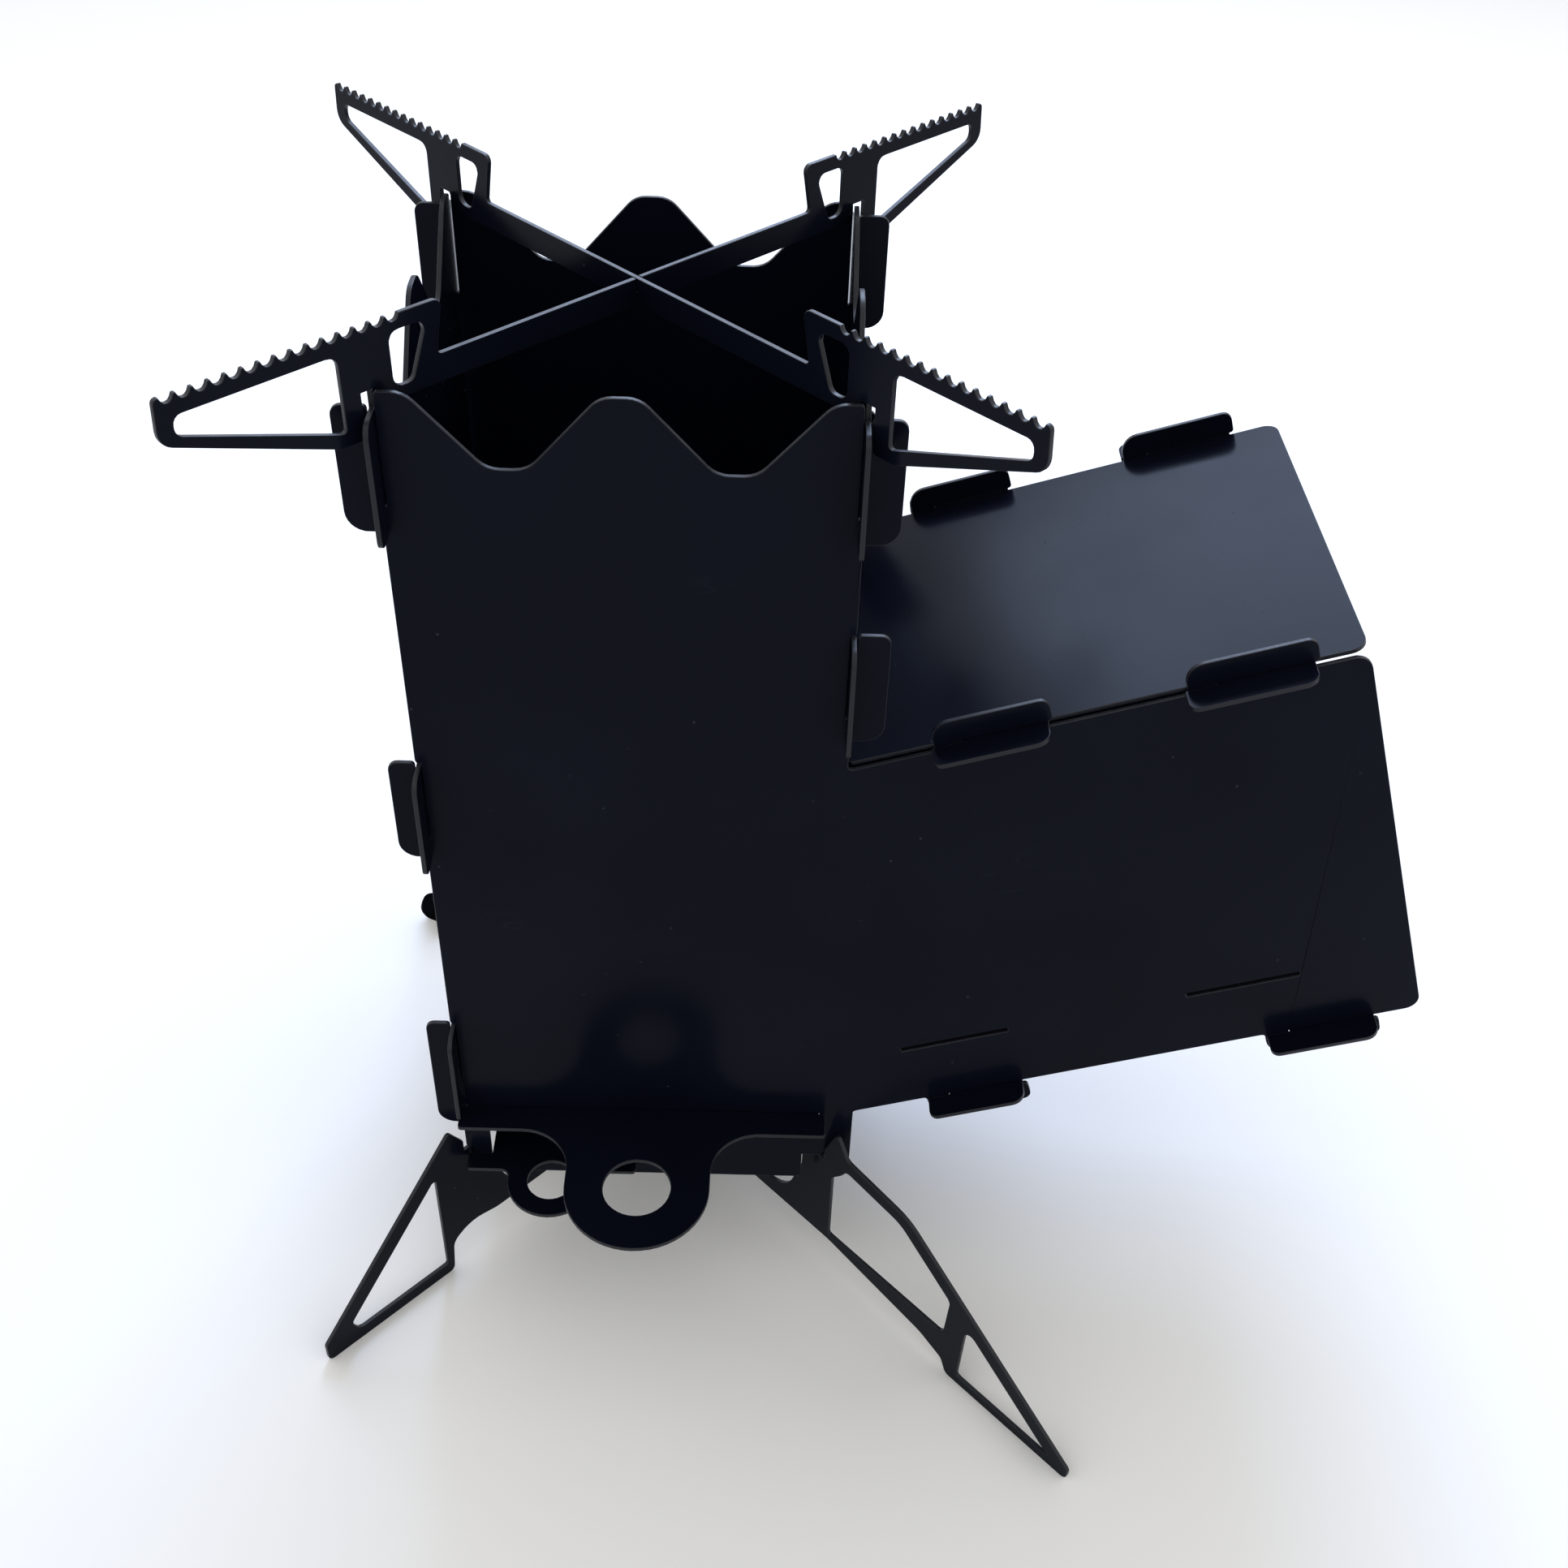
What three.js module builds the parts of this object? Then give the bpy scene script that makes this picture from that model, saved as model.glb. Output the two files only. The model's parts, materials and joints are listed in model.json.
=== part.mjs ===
// Flat-pack rocket stove cut from sheet steel. Millimetres, +Z up, the feed chute rises towards +X.
// The drawing frame has its zero at the lower front left corner of the chimney; the finished group
// is set down so that its origin is the middle of the footprint, at the level of the feet.
import * as THREE from "three";

const { degToRad } = THREE.MathUtils;

// Sheet and fits
const sheet = 1.5;
const fitGap = 0.3; // clearance on each side of a sheet in its slot
const outerSeatGap = 0.9; // clearance outside the panels' corner in a diagonal sheet's seat
const edgeRelief = 1.25; // how far a wall's edge stands back between its tabs
const tabShoulder = 5; // length of wall edge that stays close beside each tab
const cutRadius = 1.2; // small radius left by the cutter in inner corners
const arcRise = 0.05; // largest distance between a rounded corner and its facets
const smallestStep = 0.01;

// Chimney
const chimneyWidth = 130;
const chimneyDepth = 134;
const panelHeight = 317;
const waveDepth = 21.9;
const waveFlat = 10.6;
const waveRadius = 8;
// From the chimney's corners to the middle of the outermost peaks.
const panelWaveInset = 4.2;
const wallWaveInset = 6.2;
const waveShares = [-1, -0.5, 0, 0.5, 1]; // peaks and valleys over half the run between those peaks

// Feed chute
const chuteSlope = degToRad(18.2);
const mouthLean = degToRad(19.65);
const chuteTopLength = 154.3;
const mouthHeight = 152.7;
const kneeHeight = 37.9; // from the panels' lower edge to the start of the chute's floor
const kneeReach = 10; // how far the panel's foot reaches past the chimney
const chuteRadius = 5;

// Hooks of the two big panels, from the closed end to the open end of each slot
const hookBase = 8;
const hookDrop = 1.5; // free length of slot past the seated tab
const hookHeelRadius = 6;
const hookTipRadius = 3;
const tabReach = 9; // how far a tab stands out in front of the panel
const tabTipDrop = 9;
const tabRadius = 3;
const tabEndRadius = 4.5;
const hookLength = 38;
// Starts and ends of the two hooks beside the right wall, over the wall's height.
const rightHookShares = [0.096, 0.408];
const upperHookShares = [0.655, 0.967];
const middleHookStart = 156;
const lowerHookStart = 27;
const lowerHookLength = 52;
const lowerHookBase = 14; // tall enough to carry the end of the slide's slot
const lowerTipDrop = 4;
const wideHook = 10; // how far a hook stands out from the edge
const narrowHook = 8.5;
const chuteHookInset = 27; // from the chimney end of the chute's edges
const chuteNearHookLength = 36;
const topMouthInset = 14; // from the hook's end to the mouth
const floorMouthInset = 13.9;
const floorTipDrop = 7.7;

// Ash slide, with a full-width lip and a round pull in front
const slideHeight = 34.5; // underside
const slideSideGap = 0.7; // to each side wall
const slideLip = 10;
const slideEarRadius = 25;
const slideEarOut = 34; // from the panel to the middle of the finger hole
const slideHoleRadius = 11.7;
const slideRootRadius = 17;

// Lower tray, in a window of the front panel
const windowStart = 9;
const windowWidth = 48;
const windowSill = 8.2;
const windowHead = 28;
const trayLip = 7.5;
const trayLipStart = 0.6;
const trayLipEnd = 62;
const trayEarMiddle = 31.8;
const trayEarOut = 11.7;
const trayEarRadius = 15.6;
const trayHoleRadius = 8.5;
const trayRootRadius = 3;

// Fuel shelf, parallel to the chute floor
const shelfLift = 26.9; // from the panel's lower edge to the middle of the shelf
const shelfStart = -12;
const shelfMouthInset = 11.5;
const shelfTabLength = 37.5;
const shelfTabInset = 24.5; // from the chimney end of the lower edge
const shelfTabMouthInset = 37.2; // from the second tab's end to the mouth
const shelfTabSink = 0.5; // how far the tab's end lies below the panel's face

// Ember grate between the left wall and the shelf
const grateTilt = degToRad(25.5);
const grateInset = 6; // from the right wall's outer face to the lower end
const grateSideGap = 2.3;
const grateTabInset = 6;
const grateTabWidth = 11;
const grateTabRadius = 4.5;
const grateTabReach = 7;
const grateSlots = 5;
const grateSlotWidth = 7;
const grateSlotMargin = 18;

// Leg plates, measured along the diagonal from the middle of the chimney and down from its lower edge
const footDrop = 49;
const longReach = 219;
const longArm = 30; // from the tooth's neck out to the elbow
const longHeelOut = 25.5; // from the elbow to the heel
const longTip = 5.5; // height of the leg's end
const longBrace = 6; // width of the bar along the upper edge
const longElbowHeight = 17.3;
const longToothHeight = 31.5;
const shortReach = 163;
const shortHeelOut = 6.5; // from the strut to the heel
const shortTip = 9;
const shortBrace = 6.6;
const shortToothHeight = 27;
const shortWindowEnd = 11.5; // from the window's outer side to the leg's end
const soleBrace = 4; // width of the bar above the long leg's sole
const shortSoleBrace = 5.5;
const longSillBrace = 3.2; // width of the bar under the long leg's inner window
const legBarTop = 24;
const legBarBottom = 31;
const legLip = 6; // width of the lip inside the panels' corner
const legStrutWidth = 15.5;
const legSeat = 12.7; // height of the slot's bottom, which carries the panels
const legLipHeight = 18;
const toothOut = 5.5; // from the panels' corner slot to the tooth's middle
const legNeck = 6; // from the tooth's middle to its foot
const legNeckDrop = 10;
const legWindowTop = 5.6;
const footRadius = 2.5;
const toothRadius = 1.25;
const legRadius = 3;
const legBarRadius = 17;
const strutTaper = 8; // how far the strut widens inwards down to the bar
const strutFlare = 3;
const shortHeelRise = 15.5;
const shortHeelLead = 1.25;
const shortHeelRadius = 6;
const shortPost = 2.5; // from the short foot's heel to its window
const longHeelRise = 6.5;
const longHeelLead = 3;
const longPostInner = 2.5; // from the long foot's heel back to the inner window
const longPostOuter = 6;
const elbowWindowRadius = 15.6;
const heelFillet = 14;
const heelDrop = 7; // from the bar's lower edge to the start of the long heel
const elbowRadius = 22;
const panelNotchHeight = 13;
const panelNotchWidth = 7.5;

// Pot supports, measured along the diagonal from the middle of the chimney
const supportRise = 18; // top edge above the panels' peaks
const supportReach = 151.2;
const supportHead = 17.3; // from the strut to the inner end of the top edge
const supportHeadLean = 3;
const supportRest = 13.2; // length of the plain top edge that carries the pot
const supportBarRise = 3;
const supportBarHeight = 8;
const supportLip = 5.2; // from the seat to the strut's inner side
const supportStrutWidth = 15.7;
const supportFinger = 12.9; // how far the outer finger hangs below the peaks
const supportTipHeight = 12;
const supportTipLean = 0.8; // how far the tip's end leans in towards its top
const supportTipFlat = 1.3; // plain edge between the last tooth and the tip
const supportTipRound = 1.4;
const supportLead = 3; // slant of the edge that guides the panels' corner into the seat
const supportBrace = 5.2; // width of the bar along the inner end
const supportTopBrace = 5.6; // between the toothed edge and the long window
const supportArmBrace = 3.4; // height of the bar under the long window
const supportTipBrace = 4.9;
const supportSillBrace = 3.3; // under the small window
const supportHeadBrace = 4.3; // over the small window
const supportHeadRadius = 2.2;
const supportHeadSlant = 6; // how far the small window's inner side leans outwards
const supportRadius = 3;
const supportTipRadius = 5;
const supportWindowRadius = 2.5;
const supportWindowTail = 1.2; // from the tip's lower corner up to the long window
const fingerLead = 2.5;
const toothCount = 15;
const toothDepth = 1.9;
const toothFlat = 0.7;

// Derived places in the drawing frame
const halfDiagonal = Math.hypot(chimneyWidth, chimneyDepth) / 2;
const diagonalAngle = Math.atan2(chimneyDepth, chimneyWidth);
const wallEdge = sheet + fitGap;
const slotWidth = sheet + 2 * fitGap;
// Where a diagonal sheet crosses a panel, measured from the corner along the panel.
const crossOut = sheet / 2 / Math.sin(diagonalAngle) + fitGap;
const crossIn = sheet / Math.tan(diagonalAngle) + crossOut;
// The same crossing, measured along the diagonal sheet.
const seatIn = Math.max(
  (wallEdge + (sheet / 2) * Math.sin(diagonalAngle)) / Math.cos(diagonalAngle),
  (wallEdge + (sheet / 2) * Math.cos(diagonalAngle)) / Math.sin(diagonalAngle),
);
const seatOut = sheet / 2 + outerSeatGap;
const legStrutInner = halfDiagonal - seatIn - legLip;
const legStrutOuter = legStrutInner + legStrutWidth;
const toothMiddle = halfDiagonal + seatOut + toothOut;
const longElbow = toothMiddle + legNeck + longArm;
const supportStrutInner = halfDiagonal - seatIn - supportLip;
const supportStrutOuter = supportStrutInner + supportStrutWidth;
const supportInner = supportStrutInner - supportHead;
const supportInnerLow = supportInner + supportHeadLean;
const supportTeeth = supportInner + supportRest;
const chuteAlong = new THREE.Vector2(Math.cos(chuteSlope), Math.sin(chuteSlope));
const chuteUp = new THREE.Vector2(-Math.sin(chuteSlope), Math.cos(chuteSlope));
const knee = new THREE.Vector2(chimneyWidth + kneeReach, kneeHeight);
const chuteDepth = mouthHeight * Math.cos(mouthLean - chuteSlope);
// The chute's top starts at the chimney, its full depth above the line of the floor.
const chuteCornerHeight = knee.y + chuteDepth / Math.cos(chuteSlope) - kneeReach * Math.tan(chuteSlope);
const innerCorner = new THREE.Vector2(chimneyWidth, chuteCornerHeight);
const mouthTop = innerCorner.clone().addScaledVector(chuteAlong, chuteTopLength);
const mouthDown = new THREE.Vector2(Math.sin(mouthLean), -Math.cos(mouthLean));
const mouthFoot = mouthTop.clone().addScaledVector(mouthDown, mouthHeight);
const chuteFloorLength = mouthFoot.distanceTo(knee);
const hookAt = (start, length, reach, tipDrop = tabTipDrop, base = hookBase) => ({
  start,
  end: start + length,
  reach,
  base,
  tipDrop,
});
const [rightHook, upperHook] = [rightHookShares, upperHookShares].map(([start, end]) => {
  const rightWallHeight = panelHeight - chuteCornerHeight;
  return hookAt(chuteCornerHeight + start * rightWallHeight, (end - start) * rightWallHeight, wideHook);
});
const middleHook = hookAt(middleHookStart, hookLength, narrowHook);
const lowerHook = hookAt(lowerHookStart, lowerHookLength, narrowHook, lowerTipDrop, lowerHookBase);
const chuteHooks = (length, mouthInset, tipDrop) => [
  hookAt(chuteHookInset, chuteNearHookLength, wideHook, tipDrop),
  hookAt(length - mouthInset - hookLength, hookLength, wideHook, tipDrop),
];
const chuteTopHooks = chuteHooks(chuteTopLength, topMouthInset, tabTipDrop);
const chuteFloorHooks = chuteHooks(chuteFloorLength, floorMouthInset, floorTipDrop);
const shelfEnd = chuteFloorLength - shelfMouthInset;
const shelfTabs = [shelfTabInset, chuteFloorLength - shelfTabMouthInset - shelfTabLength].map(
  (start) => ({ start, end: start + shelfTabLength }),
);

const steel = (color, roughness) =>
  new THREE.MeshStandardMaterial({ color, roughness, metalness: 0.2 });
const finishes = {
  panel: steel(0x16181e, 0.42),
  wall: steel(0x17191f, 0.4),
  chute: steel(0x2c343c, 0.36),
  inner: steel(0x121317, 0.5),
  slide: steel(0x0b0d12, 0.4),
  support: steel(0x14161b, 0.42),
  leg: steel(0x14161a, 0.42),
};

// The points of a closed outline through corners [x, y, radius], each rounded by an arc. Where two
// arcs want more than the edge between them, both shrink in proportion.
function outline(corners) {
  const count = corners.length;
  const places = corners.map(([x, y]) => new THREE.Vector2(x, y));
  const toward = (i, j) => places[(j + count) % count].clone().sub(places[i]);
  const halves = places.map((_, i) => {
    const cosine = toward(i, i - 1).normalize().dot(toward(i, i + 1).normalize());
    return Math.acos(THREE.MathUtils.clamp(cosine, -1, 1)) / 2;
  });
  const wanted = corners.map(([, , radius = 0], i) => radius / Math.tan(halves[i]));
  const points = places.flatMap((here, i) => {
    const sides = [i - 1, i + 1].map((j) => {
      const length = toward(i, j).length();
      return Math.min(1, length / (wanted[i] + wanted[(j + count) % count]));
    });
    const reach = wanted[i] * Math.min(...sides);
    const r = reach * Math.tan(halves[i]);
    if (!(r > smallestStep)) return [here];
    const back = toward(i, i - 1).normalize();
    const ahead = toward(i, i + 1).normalize();
    const inward = back.clone().add(ahead).normalize();
    const centre = inward.multiplyScalar(r / Math.sin(halves[i])).add(here);
    const first = here.clone().addScaledVector(back, reach).sub(centre).angle();
    const last = here.clone().addScaledVector(ahead, reach).sub(centre).angle();
    const turn = ((last - first + 3 * Math.PI) % (2 * Math.PI)) - Math.PI;
    const steps = Math.max(2, Math.ceil(Math.abs(turn) / Math.acos(1 - arcRise / r) / 2));
    return Array.from({ length: steps + 1 }, (_, step) => {
      const angle = first + (turn * step) / steps;
      return new THREE.Vector2(Math.cos(angle), Math.sin(angle)).multiplyScalar(r).add(centre);
    });
  });
  return withoutStraight(points.filter((p, i) => p.distanceTo(points.at(i - 1)) > smallestStep));
}

// Leaves out each point that lies on the line between its neighbours.
const withoutStraight = (points) =>
  points.filter((p, i) => {
    const before = p.clone().sub(points.at(i - 1));
    const after = points[(i + 1) % points.length].clone().sub(p);
    return Math.abs(before.cross(after)) > smallestStep ** 2;
  });

const circle = (x, y, radius) => [
  [x - radius, y - radius, radius],
  [x + radius, y - radius, radius],
  [x + radius, y + radius, radius],
  [x - radius, y + radius, radius],
];

const rectangle = (x0, y0, x1, y1, radius = 0) => [
  [x0, y0, radius],
  [x1, y0, radius],
  [x1, y1, radius],
  [x0, y1, radius],
];

// A sheet with its outline in its own x and y, standing at a place with x along and y up as given.
function plate(name, finish, corners, holes, place, along, up) {
  const shape = new THREE.Shape(outline(corners));
  holes.forEach((hole) => shape.holes.push(new THREE.Path(outline(hole))));
  const geometry = new THREE.ExtrudeGeometry(shape, { depth: sheet, bevelEnabled: false });
  const mesh = new THREE.Mesh(geometry, finish.clone());
  mesh.name = name;
  const normal = new THREE.Vector3().crossVectors(along, up);
  mesh.quaternion.setFromRotationMatrix(new THREE.Matrix4().makeBasis(along, up, normal));
  mesh.position.copy(place);
  return mesh;
}

// A frame for corners beside an edge: a runs along the edge and o points out of the plate.
const edgeFrame = (origin, along, out) => (a, o, radius) => {
  const p = origin.clone().addScaledVector(along, a).addScaledVector(out, o);
  return [p.x, p.y, radius];
};

// A hook on a big panel's edge: a finger over a slot that is open at its end. The slot lies between
// slotIn and slotOut from the edge, and the panel's edge steps in beside it where slotIn is below 0.
function hookCorners(at, hook, slotIn, slotOut, steps = true) {
  const slotStart = hook.start + hook.base;
  const corners = [
    at(hook.start, 0, cutRadius),
    at(hook.start, hook.reach, hookHeelRadius),
    at(hook.end, hook.reach, hookTipRadius),
    at(hook.end, slotOut, cutRadius),
    at(slotStart, slotOut, 0),
    at(slotStart, slotIn, 0),
  ];
  return steps ? [...corners, at(hook.end, slotIn, 0), at(hook.end, 0, cutRadius)] : corners;
}

// The tab that seats in a hook: its root passes the panel and its tip hangs over the slot's end.
function tabCorners(at, hook, relief) {
  const root = hook.start + hook.base + fitGap;
  const end = hook.end - hookDrop;
  const tip = root - hook.tipDrop;
  const face = sheet + fitGap; // from the wall's edge to the panel's outer face
  const corners = [
    at(root, 0, 0),
    at(root, face + fitGap, 0),
    at(tip, face + fitGap, 0),
    at(tip, face + tabReach, tabRadius),
    at(end, face + tabReach, tabEndRadius),
    at(end, 0, 0),
  ];
  if (!relief) return corners;
  return [
    at(root - tabShoulder, -relief, cutRadius),
    at(root - tabShoulder, 0, cutRadius),
    ...corners,
    at(end + tabShoulder, 0, cutRadius),
    at(end + tabShoulder, -relief, cutRadius),
  ];
}

// The wavy top edge of a wall of this length, with peaks at its middle and its ends.
function waveCorners(length, inset) {
  const flat = waveFlat / 2;
  const inner = waveShares.flatMap((turnShare, i) => {
    const at = length / 2 + turnShare * (length / 2 - inset);
    const level = i % 2 ? panelHeight - waveDepth : panelHeight;
    return [
      [at - flat, level, waveRadius],
      [at + flat, level, waveRadius],
    ];
  });
  return inner.slice(1, -1);
}

// Both big panels: the chimney's face and the chute's side in one sheet.
function bigPanel(name, placeY) {
  const up = new THREE.Vector2(0, 1);
  const right = edgeFrame(new THREE.Vector2(chimneyWidth, 0), up, new THREE.Vector2(1, 0));
  const left = edgeFrame(new THREE.Vector2(0, 0), up, new THREE.Vector2(-1, 0));
  const top = edgeFrame(innerCorner, chuteAlong, chuteUp);
  const floor = edgeFrame(knee, chuteAlong, chuteUp.clone().negate());
  const sideIn = -(sheet + fitGap);
  const corners = [
    [crossIn, 0, 0],
    [chimneyWidth - panelNotchWidth, 0, cutRadius],
    [chimneyWidth - panelNotchWidth, panelNotchHeight, 0],
    [chimneyWidth + crossOut, panelNotchHeight, 0],
    [chimneyWidth + crossOut, 0, cutRadius],
    [knee.x, 0, chuteRadius],
    [knee.x, knee.y, cutRadius],
    ...chuteFloorHooks.flatMap((hook) => hookCorners(floor, hook, 0, slotWidth, false)),
    [mouthFoot.x, mouthFoot.y, chuteRadius],
    [mouthTop.x, mouthTop.y, chuteRadius],
    ...chuteTopHooks.flatMap((hook) => hookCorners(top, hook, 0, slotWidth, false)).reverse(),
    [innerCorner.x, innerCorner.y, cutRadius],
    ...hookCorners(right, rightHook, sideIn, fitGap),
    ...hookCorners(right, upperHook, sideIn, fitGap, false),
    [chimneyWidth + sideIn, panelHeight, cutRadius],
    ...waveCorners(chimneyWidth, panelWaveInset).reverse(),
    [-sideIn, panelHeight, cutRadius],
    ...hookCorners(left, upperHook, sideIn, fitGap, false).reverse(),
    ...hookCorners(left, middleHook, sideIn, fitGap).reverse(),
    ...hookCorners(left, lowerHook, sideIn, fitGap).reverse(),
    [0, panelNotchHeight, cutRadius],
    [crossIn, panelNotchHeight, 0],
  ];
  const slideSlot = rectangle(
    sheet + slideSideGap - fitGap,
    slideHeight - fitGap,
    chimneyWidth - sheet - slideSideGap + fitGap,
    slideHeight + sheet + fitGap,
  );
  const window = rectangle(windowStart, windowSill, windowStart + windowWidth, windowHead);
  const slits = shelfTabs.map(({ start, end }) => {
    const low = -shelfLift - slotWidth / 2;
    const high = -shelfLift + slotWidth / 2;
    return [floor(start, low), floor(end, low), floor(end, high), floor(start, high)];
  });
  return plate(
    name,
    finishes.panel,
    corners,
    [slideSlot, window, ...slits],
    new THREE.Vector3(0, placeY + sheet, 0),
    new THREE.Vector3(1, 0, 0),
    new THREE.Vector3(0, 0, 1),
  );
}

// A wall between the two big panels, with hooks' tabs at its front and back edges.
function chimneyWall(name, placeX, bottom, hooks, holes) {
  const up = new THREE.Vector2(0, 1);
  const front = edgeFrame(new THREE.Vector2(wallEdge, 0), up, new THREE.Vector2(-1, 0));
  const back = edgeFrame(new THREE.Vector2(chimneyDepth - wallEdge, 0), up, new THREE.Vector2(1, 0));
  const corners = [
    front(bottom, -edgeRelief, cutRadius),
    back(bottom, -edgeRelief, cutRadius),
    ...hooks.flatMap((hook) => tabCorners(back, hook, edgeRelief)),
    back(panelHeight, -edgeRelief, cutRadius),
    ...waveCorners(chimneyDepth, wallWaveInset).reverse(),
    front(panelHeight, -edgeRelief, cutRadius),
    ...hooks.flatMap((hook) => tabCorners(front, hook, edgeRelief)).reverse(),
  ];
  return plate(
    name,
    finishes.wall,
    corners,
    holes,
    new THREE.Vector3(placeX, 0, 0),
    new THREE.Vector3(0, 1, 0),
    new THREE.Vector3(0, 0, 1),
  );
}

// A slanted plate of the chute, placed by its underside's start and held by tabs in the hooks.
function chutePlate(name, start, end, hooks, origin, lift) {
  const along = new THREE.Vector2(1, 0);
  const front = edgeFrame(new THREE.Vector2(0, wallEdge), along, new THREE.Vector2(0, -1));
  const back = edgeFrame(new THREE.Vector2(0, chimneyDepth - wallEdge), along, new THREE.Vector2(0, 1));
  const corners = [
    front(start, 0, cutRadius),
    ...hooks.flatMap((hook) => tabCorners(front, hook, 0)),
    front(end, 0, chuteRadius),
    back(end, 0, chuteRadius),
    ...hooks.flatMap((hook) => tabCorners(back, hook, 0)).reverse(),
    back(start, 0, cutRadius),
  ];
  const place = origin.clone().addScaledVector(chuteUp, lift);
  return slanted(name, finishes.chute, corners, [], place);
}

const slanted = (name, finish, corners, holes, place) =>
  plate(
    name,
    finish,
    corners,
    holes,
    new THREE.Vector3(place.x, 0, place.y),
    new THREE.Vector3(chuteAlong.x, 0, chuteAlong.y),
    new THREE.Vector3(0, 1, 0),
  );

// The shelf that carries the wood, its plain tabs filling the slits of the big panels.
function fuelShelf() {
  const low = wallEdge;
  const high = chimneyDepth - wallEdge;
  const tip = shelfTabSink;
  const front = shelfTabs.flatMap(({ start, end }) => [
    [start + fitGap, low],
    [start + fitGap, tip],
    [end - fitGap, tip],
    [end - fitGap, low],
  ]);
  const back = front.map(([a, y]) => [a, chimneyDepth - y]).reverse();
  const corners = [
    [shelfStart, low, cutRadius],
    ...front,
    [shelfEnd, low, chuteRadius],
    [shelfEnd, high, chuteRadius],
    ...back,
    [shelfStart, high, cutRadius],
  ];
  const place = knee.clone().addScaledVector(chuteUp, shelfLift - sheet / 2);
  return slanted("fuel_shelf", finishes.inner, corners, [], place);
}

// The grate's tabs pass through the left wall, and its lower end rests on the shelf's upper face.
const grateTabs = [grateTabInset, chimneyDepth - grateTabInset - grateTabWidth].map((start) => ({
  start,
  end: start + grateTabWidth,
}));
const shelfTop = knee.clone().addScaledVector(chuteUp, shelfLift + sheet / 2);
const grateEndX = chimneyWidth - grateInset;
const grateEnd = new THREE.Vector2(
  grateEndX,
  shelfTop.y + (grateEndX - shelfTop.x) * Math.tan(chuteSlope) + fitGap / Math.cos(chuteSlope),
);
const grateRun = (grateEndX - sheet - fitGap) / Math.cos(grateTilt);
const grateWallHeight = grateEnd.y + (grateEndX - sheet / 2) * Math.tan(grateTilt);

function emberGrate() {
  const tabEnd = (grateEndX + grateTabReach) / Math.cos(grateTilt);
  const tabs = [...grateTabs].reverse().flatMap(({ start, end }) => [
    [-grateRun, end],
    [-tabEnd, end, grateTabRadius],
    [-tabEnd, start, grateTabRadius],
    [-grateRun, start],
  ]);
  const corners = [
    [0, grateSideGap, cutRadius],
    [0, chimneyDepth - grateSideGap, cutRadius],
    [-grateRun, chimneyDepth - grateSideGap, cutRadius],
    ...tabs,
    [-grateRun, grateSideGap, cutRadius],
  ];
  const pitch = (chimneyDepth - 2 * grateSlotMargin) / (grateSlots - 1);
  const holes = Array.from({ length: grateSlots }, (_, i) => {
    const middle = grateSlotMargin + i * pitch;
    return rectangle(
      -grateRun + grateSlotMargin,
      middle - grateSlotWidth / 2,
      -grateSlotMargin,
      middle + grateSlotWidth / 2,
      grateSlotWidth / 2,
    );
  });
  return plate(
    "ember_grate",
    finishes.inner,
    corners,
    holes,
    new THREE.Vector3(grateEnd.x, 0, grateEnd.y),
    new THREE.Vector3(Math.cos(grateTilt), 0, -Math.sin(grateTilt)),
    new THREE.Vector3(0, 1, 0),
  );
}

// The left wall's slots for the grate's tabs, tall enough for the slanted sheet.
function grateWallSlots() {
  const height = (sheet + 2 * fitGap) / Math.cos(grateTilt) + sheet * Math.tan(grateTilt);
  const middle = grateWallHeight + sheet / 2 / Math.cos(grateTilt);
  return grateTabs.map(({ start, end }) =>
    rectangle(start - fitGap, middle - height / 2, end + fitGap, middle + height / 2, cutRadius / 2),
  );
}

// A flat slide: a body between the walls, a lip in front of the panel and a round pull with a hole.
function slide(name, height, body, lip, ear) {
  const rear = chimneyDepth - fitGap;
  const corners = [
    [lip.start, -lip.reach, cutRadius],
    [ear.middle - ear.radius, -lip.reach, ear.root],
    [ear.middle - ear.radius, -ear.out - ear.radius, ear.radius],
    [ear.middle + ear.radius, -ear.out - ear.radius, ear.radius],
    [ear.middle + ear.radius, -lip.reach, ear.root],
    [lip.end, -lip.reach, cutRadius],
    [lip.end, -fitGap, cutRadius],
    [body.end, -fitGap],
    [body.end, rear, cutRadius],
    [body.start, rear, cutRadius],
    [body.start, -fitGap],
    [lip.start, -fitGap, cutRadius],
  ];
  return plate(
    name,
    finishes.slide,
    corners,
    [circle(ear.middle, -ear.out, ear.hole)],
    new THREE.Vector3(0, 0, height),
    new THREE.Vector3(1, 0, 0),
    new THREE.Vector3(0, 1, 0),
  );
}

const ashSlide = () =>
  slide(
    "ash_slide",
    slideHeight,
    { start: sheet + slideSideGap, end: chimneyWidth - sheet - slideSideGap },
    { start: 0, end: chimneyWidth, reach: slideLip },
    {
      middle: chimneyWidth / 2,
      out: slideEarOut,
      radius: slideEarRadius,
      hole: slideHoleRadius,
      root: slideRootRadius,
    },
  );

const lowerTray = () =>
  slide(
    "lower_tray",
    windowSill + fitGap,
    { start: windowStart + fitGap, end: windowStart + windowWidth - fitGap },
    { start: trayLipStart, end: trayLipEnd, reach: trayLip },
    {
      middle: trayEarMiddle,
      out: trayEarOut,
      radius: trayEarRadius,
      hole: trayHoleRadius,
      root: trayRootRadius,
    },
  );

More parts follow.
